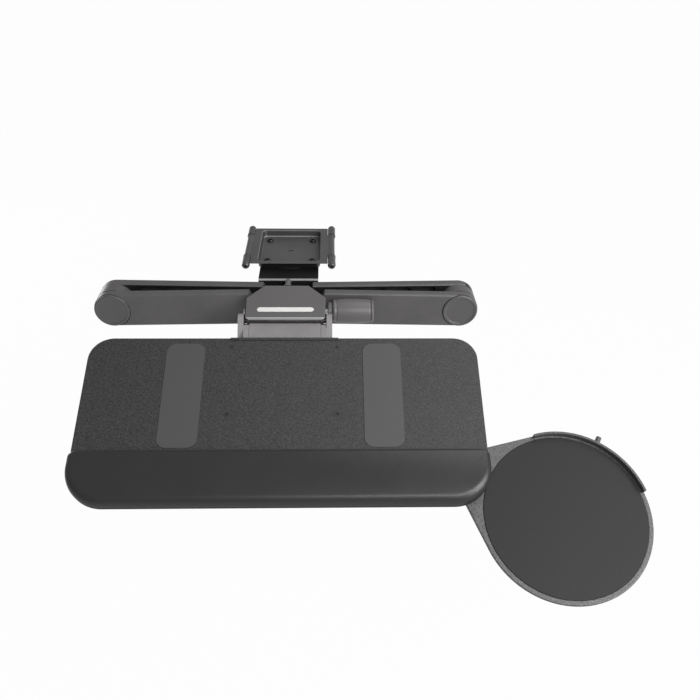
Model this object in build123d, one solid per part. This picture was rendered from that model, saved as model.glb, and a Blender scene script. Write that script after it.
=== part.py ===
"""Keyboard tray that hangs under a desk on a height-adjusting arm.

+X points to the user's right, +Y away from the user into the desk, +Z up. The origin is the centre
of the carriage plate's top face, on the swivel axis. All lengths are millimetres, angles degrees.

Two pairs of links lie one in front of the other and fold up and down like a scissor jack. Gear
sectors at their inner ends keep left and right in step, so that the head stays level.
"""
import math
import os

from build123d import *

# Carriage that slides in the track
plate_width = 126.0
plate_depth = 124.0
plate_gauge = 2.0
plate_corner = 5.0
pan_width = 98.0
pan_length = 110.0
pan_depth = 11.0
pan_corner = 8.0
pan_floor_fillet = 2.0
pan_draft = 12
pan_rim = 1.2
rail_spacing = 134.0
rail_drop = 3.0
rail_radius = 5.0
rail_bore = 3.2
rail_length = 74.0
glide_span = 128.0
glide_ball = 6.3
glide_radius = 6.1
glide_bore = 2.2
glide_bore_depth = 6.0
glide_spigot = 3.1
glide_spigot_length = 12.0
glide_gap = 0.15
glide_collar = 6.4
glide_collar_length = 2.0

# Swivel between the carriage and the arm
swivel_limit = 15.0
swivel_slot_margin = 1.0
bolt_square = 71.0
bolt_radius = 3.0
bolt_head_radius = 5.0
bolt_head_height = 3.2
nut_radius = 5.2
nut_height = 4.5
washer_gauge = 1.0
retainer_gauge = 2.0
retainer_radius = 56.0
swivel_head_radius = 58.0
bush_wall = 6.5
centre_bore = 3.5
slot_clearance = 0.4
running_clearance = 0.05
fit_clearance = 0.02

# Arm bracket and pivot plates
bracket_gauge = 3.0
arm_width = 92.0
arm_reach = 90.5
bend_radius = 3.0
flange_height = 11.0
flange_start = 42.0
drop_below_pivot = 32.0
plate_end_radius = 12.0
pin_radius = 5.0
pin_head_radius = 7.5
pin_head_height = 3.0
pin_end = 1.5
tie_radius = 5.0
tie_offset = 25.0
tie_ear = 6.5
pivot_plate_half = 15.0

# Links
pivot_spacing = 55.0
pivot_drop = 44.0
link_length = 233.5
link_half_height = 27.0
opening = 0.9
rear_link_thickness = 15.5
front_link_thickness = 14.5
link_gap = 19.3
side_play = 0.5
bush_flange = 1.0
bush_flange_radius = 11.0
bush_shell = 2.0
neck_half_height = 15.0
front_neck_start = 23.5
rear_neck_start = 6.0
neck_slope_run = 5.5
sector_margin_angle = 9.0
pocket_skin = 3.5
pocket_wall = 3.5
pocket_start = 46.0
pocket_end_gap = 34.0
pocket_rib = 3.0
pocket_count = 4
link_edge = 3.0

# Gear sectors
gear_teeth = 22
sector_teeth_above = 2
sector_teeth_below = 2
pressure_angle = 20.0
gear_backlash = 0.4
addendum_share = 1.0
dedendum_share = 1.25

# Elbows: spring drum, axle, cap
drum_wall = 2.5
drum_front_wall = 2.0
drum_clearance = 0.2
axle_radius = 5.0
axle_head_radius = 9.0
axle_head_height = 2.0
boss_wall = 3.0
boss_length = 15.0
boss_clearance = 0.4
elbow_web = 4.5
elbow_nut_radius = 8.5
elbow_nut_height = 4.5
elbow_washer_gauge = 1.2
elbow_washer_radius = 9.6
nut_pocket_radius = 11.0
cap_depth = 3.6
cap_proud = 1.2
cap_clearance = 0.3
cap_rim = 3.4
cap_dish = 1.8
spring_strip = 1.1
spring_width = 12.5
spring_pitch = 3.26
spring_gap = 0.25
spring_half_turns = 8

# Head
head_width = 110.0
head_height = 56.0
cheek_gauge = 4.0
hood_side_gap = 2.0
shaft_end_gap = 7.5
knob_side_gap = 6.5
ear_side_gap = 4.5
arm_overlap = 3.5
hinge_ahead = 95.0
hinge_drop = 29.2
hinge_radius = 4.0
hinge_boss = 8.0
knob_ahead = 70.1
knob_drop = 28.2
shaft_radius = 4.0
shaft_boss = 9.0
shaft_bush_radius = 6.0

# Hood
hood_gauge = 2.4
hood_rear_ahead = 34.0
hood_rear_drop = 5.5
hood_front_ahead = 104.5
hood_tilt_angle = 11.9
hood_rear_width = 65.0
hood_waist_flare = 1.0
hood_shoulder_ahead = 60.5
hood_wall_height = 11.0
hood_wall_ahead = 89.5
hood_corner = 4.0
hood_lip = 1.2
hood_lip_gauge = 1.6
bar_length = 82.0
bar_width = 9.2
bar_depth = 0.8
bar_ahead = 86.5

# Tilt knob, screw and nut
screw_radius = 5.0
screw_length = 48.0
screw_centre = 0.0
collar_length = 7.0
collar_radius = 13.0
knob_gap = 0.3
barrel_length = 55.0
barrel_radius = 18.2
barrel_end_radius = 16.6
bead_length = 5.0
bead_radius = 16.0
clip_radius = 6.5
clip_gauge = 1.2
nut_length = 14.0
nut_half_height = 8.0
nut_guide_gap = 0.5
nut_travel_per_degree = 0.66
nut_rest = 9.0
finger_radius = 2.2
finger_clearance = 0.2
cam_radius = 7.6
cam_length = 56.0
tilt_up = 30.0
tilt_down = 2.0
cam_margin = 6.0
cam_foot = 40.0

# Tray: board, brackets, palm rest
tilt_at_rest = 26.5
board_setback = 32.0
board_rise = 4.8
board_gauge = 8.0
board_width = 543.0
board_depth = 236.0
board_rear_corner = 33.0
board_front_corner = 46.0
board_edge = 1.0
ear_radius = 10.0
ear_gauge = 8.0
ear_clearance = 0.5
panel_drop = 1.0
panel_slope = 30.5
ear_notch = 0.8
barrel_gap = 0.4
cover_gap = 0.4
under_gauge = 3.0
under_width = 184.0
under_length = 136.0
under_flange = 8.0
lip_width = 152.0
lip_depth = 3.5
lip_rise = 1.5
screw_head_radius = 4.2
screw_head_height = 2.2
screw_shank_radius = 2.4
tray_screw_spacing = 148.0
tray_screw_first = 15.0
tray_screw_second = 117.5
pad_inner = 110.0
pad_width = 53.0
pad_rear = 9.5
pad_length = 155.5
pad_corner = 13.0
pad_gauge = 1.3
pad_pocket = 0.5
palm_rear = 170.4
palm_front = 243.4
palm_width = 545.0
palm_rise = 12.0
palm_below = 2.0
palm_corner = 50.0
palm_rear_corner = 14.0
palm_nose = 8.0
palm_heel = 2.5

# Mouse platform
mouse_pivot_inset = 29.0
mouse_pivot_depth = 191.3
mouse_arm_past_disc = 25.8
mouse_direction = -26.9
mouse_radius = 111.3
mouse_tail_radius = 22.0
mouse_top_drop = 12.0
mouse_gauge = 5.5
mouse_edge = 1.5
mouse_pad_gap = 2.0
mouse_pad_gauge = 2.4
mouse_pad_pocket = 1.4
fence_inset = 0.7
fence_gauge = 3.0
fence_height = 9.5
fence_from = 15.0
fence_to = 105.0
peg_angle = 60.0
peg_radius = 3.5
peg_reach = 8.0
mount_radius = 20.0
pivot_bolt_radius = 4.0
pivot_head_radius = 11.0
pivot_head_height = 4.0
pivot_thread = 7.0

# Shares of a size
flat_share = 0.86
socket_share = 0.8
round_share = 0.95
rim_round_share = 0.5
rim_share = 0.96
face_share = 0.82

overrun = 1.0

# Places worked out from the sizes above
floor_under = pan_depth + plate_gauge
bracket_top = floor_under + washer_gauge
bracket_under = bracket_top + bracket_gauge
retainer_top = bracket_under + washer_gauge
retainer_under = retainer_top + retainer_gauge
bush_outer = centre_bore + bush_wall
bolt_circle = bolt_square / math.sqrt(2)

hinge_reach = arm_reach + hinge_ahead
knob_reach = arm_reach + knob_ahead
hood_rear_reach = arm_reach + hood_rear_ahead
hood_front_reach = arm_reach + hood_front_ahead
hood_shoulder_reach = arm_reach + hood_shoulder_ahead
hood_wall_front = arm_reach + hood_wall_ahead
bar_reach = arm_reach + bar_ahead
mouse_arm = mouse_radius + mouse_arm_past_disc
rear_back = arm_reach + bush_flange
rear_front = rear_back + rear_link_thickness
pivot_plate_back = rear_front + side_play
pivot_plate_front = pivot_plate_back + bracket_gauge
front_back = rear_front + link_gap
front_front = front_back + front_link_thickness
head_plate_front = front_back - bush_flange
head_plate_back = head_plate_front - bracket_gauge
web_back = front_front + side_play
web_front = web_back + bracket_gauge

pivot_x = pivot_spacing / 2
elbow_rise = link_length * math.sin(math.radians(opening))
elbow_run = link_length * math.cos(math.radians(opening))
elbow_x = pivot_x + elbow_run
rear_pivot_z = -pivot_drop
elbow_z = rear_pivot_z + elbow_rise
front_pivot_z = elbow_z + elbow_rise
bush_outer_link = pin_radius + bush_shell
gear_module = pivot_spacing / gear_teeth
rear_ties = (rear_pivot_z + tie_offset, rear_pivot_z - tie_offset)
front_ties = (front_pivot_z - tie_offset,)

hinge_y = -hinge_reach
hinge_z = -hinge_drop
knob_y = -knob_reach
knob_z = -knob_drop
hood_under = hood_gauge / math.cos(math.radians(hood_tilt_angle))
hood_fall = (web_front - hood_rear_reach) * math.tan(math.radians(hood_tilt_angle))
head_top_drop = hood_rear_drop + hood_fall + hood_under
knob_distance = math.hypot(hinge_reach - knob_reach, hinge_drop - knob_drop)
knob_bearing = math.degrees(math.atan2(hinge_drop - knob_drop, hinge_reach - knob_reach))
cheek_outer = head_width / 2
ear_inner = cheek_outer + ear_side_gap
arm_inner = cheek_outer - arm_overlap
knob_start = cheek_outer + knob_side_gap
shaft_left = cheek_outer + shaft_end_gap

board_top = board_rise
board_under = board_rise - board_gauge
under_bottom = board_under - under_gauge
mouse_top = board_top - mouse_top_drop
mouse_pivot_x = board_width / 2 - mouse_pivot_inset
fence_outer = mouse_radius - fence_inset
mouse_pad_radius = fence_outer - fence_gauge - mouse_pad_gap - cover_gap

os.makedirs("parts", exist_ok=True)


def save(shape, name):
    """Write one sub-part."""
    export_step(shape, f"parts/{name}.step")


def block(x0, x1, y0, y1, z0, z1):
    """Box between two opposite corners."""
    size = Box(abs(x1 - x0), abs(y1 - y0), abs(z1 - z0))
    return Pos((x0 + x1) / 2, (y0 + y1) / 2, (z0 + z1) / 2) * size


def rod_x(x0, x1, y, z, radius):
    """Cylinder along X between x0 and x1."""
    return Pos((x0 + x1) / 2, y, z) * Rot(0, 90, 0) * Cylinder(radius, abs(x1 - x0))


def rod_y(x, y0, y1, z, radius):
    """Cylinder along Y between y0 and y1."""
    return Pos(x, (y0 + y1) / 2, z) * Rot(90, 0, 0) * Cylinder(radius, abs(y1 - y0))


def rod_z(x, y, z0, z1, radius):
    """Cylinder along Z between z0 and z1."""
    return Pos(x, y, (z0 + z1) / 2) * Cylinder(radius, abs(z1 - z0))


def hex_z(x, y, z0, z1, radius):
    """Hexagonal nut blank along Z."""
    return Pos(x, y, min(z0, z1)) * extrude(RegularPolygon(radius, 6), amount=abs(z1 - z0))


def slab(sketch, y0, thickness):
    """Plate whose outline is drawn in X and Z, from y0 forwards to the user."""
    return extrude(Plane.XZ.offset(-y0) * sketch, amount=thickness)


def mirrored(shape):
    """The right-hand copy of a left-hand solid."""
    return mirror(shape, about=Plane.YZ)


def square_places(spacing):
    """The four corners of a square, centred on the origin."""
    half = spacing / 2
    return [(sx * half, sy * half) for sx in (-1, 1) for sy in (-1, 1)]


# Carriage


def carriage_plate():
    """Pressed plate with a sloping-sided pan, and a rolled rail along each side."""
    half_x = plate_width / 2
    half_y = plate_depth / 2
    plate = extrude(RectangleRounded(plate_width, plate_depth, plate_corner), amount=-plate_gauge)
    outer = RectangleRounded(pan_width + 2 * plate_gauge, pan_length + 2 * plate_gauge,
                             pan_corner + plate_gauge)
    plate += extrude(outer, amount=-floor_under, taper=pan_draft)
    pan = extrude(RectangleRounded(pan_width, pan_length, pan_corner), amount=-pan_depth, taper=pan_draft)
    pan = fillet(pan.faces().sort_by(Axis.Z)[0].edges(), pan_floor_fillet)
    plate -= pan
    rim = RectangleRounded(pan_width + 2 * pan_rim, pan_length + 2 * pan_rim, pan_corner + pan_rim)
    plate -= extrude(rim, amount=-pan_rim, taper=45)
    for side in (-1, 1):
        x = side * rail_spacing / 2
        plate += rod_y(x, -rail_length / 2, rail_length / 2, -rail_drop, rail_radius)
        for end in (-1, 1):
            inner = rail_spacing / 2 - glide_ball - glide_gap
            plate -= block(side * inner, side * (half_x + overrun),
                           end * rail_length / 2, end * (half_y + overrun), overrun, -floor_under)
        plate -= rod_y(x, -half_y, half_y, -rail_drop, rail_bore)
    for x, y in square_places(bolt_square):
        plate -= rod_z(x, y, -pan_depth + overrun, -floor_under - overrun, bolt_radius + running_clearance)
    plate -= rod_z(0, 0, -pan_depth + overrun, -floor_under - overrun, centre_bore)
    return plate


def glides(side):
    """Two nylon glides with a collar and a ball end, pushed into the ends of one rail."""
    pieces = []
    x = side * rail_spacing / 2
    for end in (-1, 1):
        seat = end * (rail_length / 2 + fit_clearance)
        tip = end * glide_span / 2
        body = rod_y(x, seat, tip, -rail_drop, glide_radius)
        body += rod_y(x, seat - end * glide_spigot_length, seat + end * overrun, -rail_drop, glide_spigot)
        body += rod_y(x, seat, seat + end * glide_collar_length, -rail_drop, glide_collar)
        body += Pos(x, tip, -rail_drop) * Sphere(glide_ball)
        mouth = tip + end * (glide_ball + overrun)
        body -= rod_y(x, mouth, mouth - end * (glide_bore_depth + overrun), -rail_drop, glide_bore)
        body -= block(x - glide_ball, x + glide_ball, tip + end * glide_ball * flat_share,
                      tip + end * (glide_ball + overrun), -rail_drop - glide_ball, -rail_drop + glide_ball)
        pieces.append(body)
    return Compound(children=pieces)


def swivel_bush():
    """Hollow pivot boss under the pan, on which the arm turns."""
    boss = rod_z(0, 0, -floor_under, -retainer_under, bush_outer)
    return boss - rod_z(0, 0, overrun, -retainer_under - overrun, centre_bore)


def bolted_ring(top, bottom, radius):
    """Ring with the bush's hole and the four bolt holes, for the washers and the retainer."""
    ring = rod_z(0, 0, top, bottom, radius)
    ring -= rod_z(0, 0, top + overrun, bottom - overrun, bush_outer + fit_clearance)
    for x, y in square_places(bolt_square):
        ring -= rod_z(x, y, top + overrun, bottom - overrun, bolt_radius + running_clearance)
    return ring


def carriage_bolts():
    """Four round-headed bolts through the pan, the washers and the retainer."""
    pieces = []
    for x, y in square_places(bolt_square):
        head = rod_z(x, y, -pan_depth, -pan_depth + bolt_head_height, bolt_head_radius)
        head = fillet(head.edges().sort_by(Axis.Z)[-1], bolt_head_height / 2)
        head -= Pos(x, y, -pan_depth + bolt_head_height / 2) * extrude(
            RegularPolygon(bolt_radius * socket_share, 6), amount=bolt_head_height)
        shank = rod_z(x, y, -pan_depth, -retainer_under - nut_height - overrun, bolt_radius)
        pieces.append(head + shank)
    return Compound(children=pieces)


def carriage_nuts():
    """Four lock nuts under the retainer."""
    pieces = []
    for x, y in square_places(bolt_square):
        nut = hex_z(x, y, -retainer_under, -retainer_under - nut_height, nut_radius)
        nut -= rod_z(x, y, 0, -retainer_under - nut_height - overrun, bolt_radius + fit_clearance)
        pieces.append(nut)
    return Compound(children=pieces)


# Arm bracket


def rear_bracket():
    """Bent plate: round swivel head with four arc slots, arm, and drop plate with the pin holes."""
    half = arm_width / 2
    back = -arm_reach + bracket_gauge
    bottom = rear_pivot_z - drop_below_pivot
    outline = Circle(swivel_head_radius)
    outline += Pos(0, -arm_reach / 2) * Rectangle(arm_width, arm_reach)
    outline -= Circle(bush_outer + running_clearance)
    half_sweep = swivel_limit + swivel_slot_margin
    for quarter in range(4):
        middle = 45 + 90 * quarter
        arc = CenterArc((0, 0), bolt_circle, middle - half_sweep, 2 * half_sweep)
        outline -= SlotArc(arc, 2 * (bolt_radius + slot_clearance))
    plate = Pos(0, 0, -bracket_under) * extrude(outline, amount=bracket_gauge)
    plate += block(-half, half, -arm_reach, back, -bracket_top, bottom)
    for side in (-1, 1):
        plate += block(side * half, side * (half - bracket_gauge), -arm_reach, -flange_start,
                       -bracket_under + fit_clearance, -bracket_under - flange_height)
    front_bend = plate.edges().filter_by(Axis.X).filter_by_position(
        Axis.Z, -bracket_top - fit_clearance, -bracket_top + fit_clearance)
    plate = fillet(front_bend.sort_by(Axis.Y)[0], bend_radius)
    low = plate.edges().filter_by(Axis.Y).group_by(Axis.Z)[0]
    plate = fillet(low, plate_end_radius)
    for side in (-1, 1):
        plate -= rod_y(side * pivot_x, 0, -arm_reach - overrun, rear_pivot_z, pin_radius + fit_clearance)
    for height in rear_ties:
        plate -= rod_y(0, back + overrun, -arm_reach - overrun, height, tie_radius + fit_clearance)
    return plate


def pivot_plate(back, z, tie_heights):
    """Rounded plate that carries the two pins of a pair, with an ear for each tie bolt."""
    outline = Pos(0, z) * RectangleRounded(pivot_spacing + 2 * pivot_plate_half, 2 * pivot_plate_half,
                                           pivot_plate_half * round_share)
    for height in tie_heights:
        middle = (z + height) / 2
        length = abs(height - z) + 2 * tie_ear
        outline += Pos(0, middle) * RectangleRounded(2 * tie_ear, length, tie_ear * round_share)
    plate = slab(outline, -back, bracket_gauge)
    for side in (-1, 1):
        plate -= rod_y(side * pivot_x, 0, -web_front, z, pin_radius + fit_clearance)
    for height in tie_heights:
        plate -= rod_y(0, 0, -web_front, height, tie_radius + fit_clearance)
    return plate


def pivot_pins(head_face, end_face, z):
    """Two headed pins, chamfered at the front end."""
    pieces = []
    for side in (-1, 1):
        x = side * pivot_x
        pin = rod_y(x, head_face, end_face - pin_end, z, pin_radius)
        head = rod_y(x, head_face + pin_head_height, head_face, z, pin_head_radius)
        pin += chamfer(head.edges().sort_by(Axis.Y)[-1], pin_end / 2)
        pin = chamfer(pin.edges().sort_by(Axis.Y)[0], pin_end / 2)
        pieces.append(pin)
    return Compound(children=pieces)


def tie_bolts(y0, y1, heights):
    """Bare tie bolts between the two plates of a pivot pair, clear of the gear teeth."""
    return Compound(children=[rod_y(0, y0, y1, z, tie_radius) for z in heights])


# Gear sectors and links


def involute(angle):
    """Involute function of an angle in radians."""
    return math.tan(angle) - angle


def tooth(module, teeth, centre_angle):
    """Outline of one gear tooth about the origin, its middle at centre_angle."""
    pitch = module * teeth / 2
    base = pitch * math.cos(math.radians(pressure_angle))
    tip = pitch + addendum_share * module
    root = pitch - dedendum_share * module
    half_pitch = math.pi / (2 * teeth) - gear_backlash / (2 * pitch)
    half_base = half_pitch + involute(math.radians(pressure_angle))

    def spot(radius, side):
        turn = half_base - involute(math.acos(min(1.0, base / radius)))
        around = math.radians(centre_angle) + side * turn
        return (radius * math.cos(around), radius * math.sin(around))

    foot = root - module / 4
    middle = math.radians(centre_angle)
    crest = (tip * math.cos(middle), tip * math.sin(middle))
    low = []
    for side in (-1, 1):
        around = middle + side * half_base
        low.append((foot * math.cos(around), foot * math.sin(around)))
    flank = (base + tip) / 2
    edges = [
        Line(low[0], spot(base, -1)),
        ThreePointArc(spot(base, -1), spot(flank, -1), spot(tip, -1)),
        ThreePointArc(spot(tip, -1), crest, spot(tip, 1)),
        ThreePointArc(spot(tip, 1), spot(flank, 1), spot(base, 1)),
        Line(spot(base, 1), low[1]),
        Line(low[1], low[0]),
    ]
    return make_face(edges)


def sector(first_angle, count):
    """Hub with a wedge of the root disc, and teeth from first_angle on, one pitch apart."""
    root = gear_module * gear_teeth / 2 - dedendum_share * gear_module
    start = math.radians(first_angle - sector_margin_angle)
    sweep_angle = math.radians((count - 1) * 360 / gear_teeth + 2 * sector_margin_angle)
    corners = [(0, 0)]
    for share in (0, 0.5, 1):
        around = start + share * sweep_angle
        corners.append((2 * root * math.cos(around), 2 * root * math.sin(around)))
    shape = Circle(root) & make_face(Polyline(*corners, (0, 0)))
    shape += Circle(neck_half_height)
    for index in range(count):
        shape += tooth(gear_module, gear_teeth, first_angle + index * 360 / gear_teeth)
    return shape


def link_outline(x, z, rise, side, neck_start, first_angle, count):
    """Link outline in X and Z: gear sector at (x, z), neck, bar, and round elbow end."""
    neck_end = neck_start + neck_slope_run
    bar = Polyline(
        (0, neck_half_height), (neck_start, neck_half_height), (neck_end, link_half_height),
        (link_length, link_half_height), (link_length, -link_half_height), (neck_end, -link_half_height),
        (neck_start, -neck_half_height), (0, -neck_half_height), (0, neck_half_height))
    shape = make_face(bar) + Pos(link_length, 0) * Circle(link_half_height)
    lean = rise * opening
    if side < 0:
        turned = Rot(0, 0, 180 - lean) * shape
    else:
        turned = Rot(0, 0, lean) * shape
    return Pos(x, z) * (turned + sector(first_angle, count))


def rounded_bar(link):
    """Round the long edges of a link's bar."""
    long_edges = [edge for edge in link.edges().filter_by(GeomType.LINE) if edge.length > link_length / 2]
    return fillet(long_edges, link_edge)


def link_pockets(x, z, rise, y0, depth):
    """Row of lightening pockets along a left-hand link, cut from y0 forwards or backwards."""
    whole = link_length - pocket_end_gap - pocket_start
    pitch = (whole + pocket_rib) / pocket_count
    cuts = []
    for index in range(pocket_count):
        start = pocket_start + index * pitch
        cut = block(-start, -start - pitch + pocket_rib, 0, depth,
                    link_half_height - pocket_wall, -link_half_height + pocket_wall)
        cut = fillet(cut.edges().filter_by(Axis.Y), pocket_wall)
        cuts.append(Pos(x, y0, z) * Rot(0, rise * opening, 0) * cut)
    return cuts


def rear_link():
    """Left rear link, with its gear sector, lightening pockets and axle seat."""
    pitch = 360 / gear_teeth
    outline = link_outline(-pivot_x, rear_pivot_z, 1, -1, rear_neck_start, -sector_teeth_below * pitch,
                           sector_teeth_above + sector_teeth_below + 1)
    link = rounded_bar(slab(outline, -rear_back, rear_link_thickness))
    for cut in link_pockets(-pivot_x, rear_pivot_z, 1, -rear_front - overrun,
                            rear_link_thickness - pocket_skin + overrun):
        link -= cut
    link -= rod_y(-pivot_x, 0, -rear_front - overrun, rear_pivot_z, bush_outer_link + fit_clearance)
    link -= rod_y(-elbow_x, 0, -rear_front - overrun, elbow_z, axle_radius + fit_clearance)
    return link


def right_rear_link():
    """Right rear link: as the left, with its teeth half a pitch round so that they mesh."""
    pitch = 360 / gear_teeth
    count = sector_teeth_above + sector_teeth_below + 1
    first_tooth = 180 - (sector_teeth_above - 0.5) * pitch
    outline = link_outline(pivot_x, rear_pivot_z, 1, 1, rear_neck_start, first_tooth, count)
    link = rounded_bar(slab(outline, -rear_back, rear_link_thickness))
    for cut in link_pockets(-pivot_x, rear_pivot_z, 1, -rear_front - overrun,
                            rear_link_thickness - pocket_skin + overrun):
        link -= mirrored(cut)
    link -= rod_y(pivot_x, 0, -rear_front - overrun, rear_pivot_z, bush_outer_link + fit_clearance)
    link -= rod_y(elbow_x, 0, -rear_front - overrun, elbow_z, axle_radius + fit_clearance)
    return link


def front_link_cuts(link, side):
    """Bores, cap recess, nut pocket and spring boss of a front link; the pockets face the gap."""
    x = side * elbow_x
    for cut in link_pockets(-pivot_x, front_pivot_z, -1, -front_back + overrun,
                            -(front_link_thickness - pocket_skin + overrun)):
        link -= cut if side < 0 else mirrored(cut)
    boss = axle_radius + bush_shell + boss_wall
    link += rod_y(x, -front_back + boss_length, -front_back - overrun, elbow_z, boss)
    link -= rod_y(x, 0, -front_front - overrun, elbow_z, axle_radius + bush_shell + fit_clearance)
    link -= rod_y(x, -front_back - elbow_web, -front_front - overrun, elbow_z, nut_pocket_radius)
    link -= rod_y(x, -front_front + cap_depth, -front_front - overrun, elbow_z,
                  link_half_height + cap_clearance)
    link -= rod_y(side * pivot_x, 0, -front_front - overrun, front_pivot_z, bush_outer_link + fit_clearance)
    return link


def front_link(side):
    """Front link of one side; its inner end is higher than its elbow at rest."""
    pitch = 360 / gear_teeth
    count = sector_teeth_above + sector_teeth_below + 1
    if side < 0:
        first_tooth = -sector_teeth_below * pitch
    else:
        first_tooth = 180 - (sector_teeth_above - 0.5) * pitch
    outline = link_outline(side * pivot_x, front_pivot_z, -1, side, front_neck_start, first_tooth, count)
    link = rounded_bar(slab(outline, -front_back, front_link_thickness))
    return front_link_cuts(link, side)


def flanged_bush(x, y_flange, y_end, z):
    """Nylon bush in a link's inner end, its flange facing +Y."""
    bush = rod_y(x, y_flange - bush_flange, y_end, z, bush_outer_link)
    bush += rod_y(x, y_flange, y_flange - bush_flange, z, bush_flange_radius)
    return bush - rod_y(x, y_flange + overrun, y_end - overrun, z, pin_radius + running_clearance)


def elbow_bush(x):
    """Plain bush in the front link's boss, in which the elbow axle turns."""
    bush = rod_y(x, -front_back + boss_length, -front_back - elbow_web, elbow_z, axle_radius + bush_shell)
    return bush - rod_y(x, 0, -front_front, elbow_z, axle_radius + running_clearance)


# Elbows


def drum(x):
    """Spring housing between the rear and the front link: a cup open to the rear link's face."""
    front = rear_front + link_gap - drum_clearance
    cup = rod_y(x, -rear_front, -front, elbow_z, link_half_height)
    cup -= rod_y(x, -rear_front + overrun, -front + drum_front_wall, elbow_z, link_half_height - drum_wall)
    boss = axle_radius + bush_shell + boss_wall
    hole = boss + boss_clearance
    return cup - rod_y(x, -front + drum_front_wall + overrun, -front - overrun, elbow_z, hole)


def counter_spring(x):
    """Flat strip wound in a spiral of half turns, from the boss out to the drum's wall."""
    boss = axle_radius + bush_shell + boss_wall
    inner = boss + spring_gap + spring_pitch / 4
    strip = None
    for index in range(spring_half_turns):
        radius = inner + spring_strip / 2 + index * spring_pitch / 2
        shift = spring_pitch / 4 if index % 2 else -spring_pitch / 4
        ring = Circle(radius + spring_strip / 2) - Circle(radius - spring_strip / 2)
        reach = 2 * (radius + spring_pitch)
        lean = reach / 2 if index % 2 else -reach / 2
        half = ring & (Pos(0, lean) * Rectangle(2 * reach, reach))
        placed = Pos(shift, 0) * half
        strip = placed if strip is None else strip + placed
    middle = rear_front + (link_gap - drum_clearance - drum_front_wall) / 2
    return slab(Pos(x, elbow_z) * strip, -middle + spring_width / 2, spring_width)


def elbow_axle(x):
    """Axle through the rear link, the drum and the front link's bush, with a head at the back."""
    end = front_back + elbow_web + elbow_washer_gauge + elbow_nut_height
    axle = rod_y(x, -rear_back, -end, elbow_z, axle_radius)
    axle += rod_y(x, -rear_back + axle_head_height, -rear_back, elbow_z, axle_head_radius)
    return chamfer(axle.edges().sort_by(Axis.Y)[-1], axle_head_height / 3)


def elbow_nut(x):
    """Washer and nut on the axle's front end, in the front link's pocket."""
    seat = -front_back - elbow_web - side_play / 2
    washer = rod_y(x, seat, seat - elbow_washer_gauge, elbow_z, elbow_washer_radius)
    nut = slab(Pos(x, elbow_z) * RegularPolygon(elbow_nut_radius, 6), seat - elbow_washer_gauge,
               elbow_nut_height - side_play)
    both = washer + nut
    return both - rod_y(x, 0, -front_front, elbow_z, axle_radius + fit_clearance)


def elbow_cap(x):
    """Dished cap with a rounded rim, snapped into the front link's recess."""
    back = -front_front + cap_depth
    front = -front_front - cap_proud
    cap = rod_y(x, back, front, elbow_z, link_half_height)
    cap = fillet(cap.edges().sort_by(Axis.Y)[0], cap_rim * rim_round_share)
    dish_radius = link_half_height - cap_rim
    ball = (dish_radius ** 2 + cap_dish ** 2) / (2 * cap_dish)
    return cap - Pos(x, front + cap_dish - ball, elbow_z) * Sphere(ball)


# Head


def head_frame():
    """Web behind the hood with a cheek at each side, which carries the hinge rod and the knob shaft."""
    top = -head_top_drop - fit_clearance
    web = block(-cheek_outer, cheek_outer, -web_back, -web_front, top, top - head_height)
    frame = fillet(web.edges().filter_by(Axis.Y), plate_end_radius / 2)
    root = Pos(-web_back - bracket_gauge, knob_z) * Rectangle(2 * bracket_gauge, 2 * shaft_boss)
    cheek = make_hull((Pos(hinge_y, hinge_z) * Circle(hinge_boss)).edges()
                      + (Pos(knob_y, knob_z) * Circle(shaft_boss)).edges() + root.edges())
    for side in (-1, 1):
        inner = side * (cheek_outer - cheek_gauge)
        frame += extrude(Plane.YZ.offset(inner) * cheek, amount=side * cheek_gauge)
    for side in (-1, 1):
        x0 = side * (cheek_outer - cheek_gauge - overrun)
        x1 = side * (cheek_outer + overrun)
        frame -= rod_x(x0, x1, hinge_y, hinge_z, hinge_radius + running_clearance)
        frame -= rod_x(x0, x1, knob_y, knob_z, shaft_bush_radius + fit_clearance)
        frame -= rod_y(side * pivot_x, -front_back, -web_front - overrun, front_pivot_z,
                       pin_radius + fit_clearance)
    for height in front_ties:
        frame -= rod_y(0, -front_back, -web_front - overrun, height, tie_radius + fit_clearance)
    return frame


def shaft_bushes():
    """Two bushes in the cheeks, in which the knob's shaft turns."""
    pieces = []
    for side in (-1, 1):
        x0 = side * (cheek_outer - cheek_gauge)
        bush = rod_x(x0, side * cheek_outer, knob_y, knob_z, shaft_bush_radius)
        bush -= rod_x(x0 - side * overrun, side * (cheek_outer + overrun), knob_y, knob_z,
                      shaft_radius + running_clearance)
        pieces.append(bush)
    return Compound(children=pieces)


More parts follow.
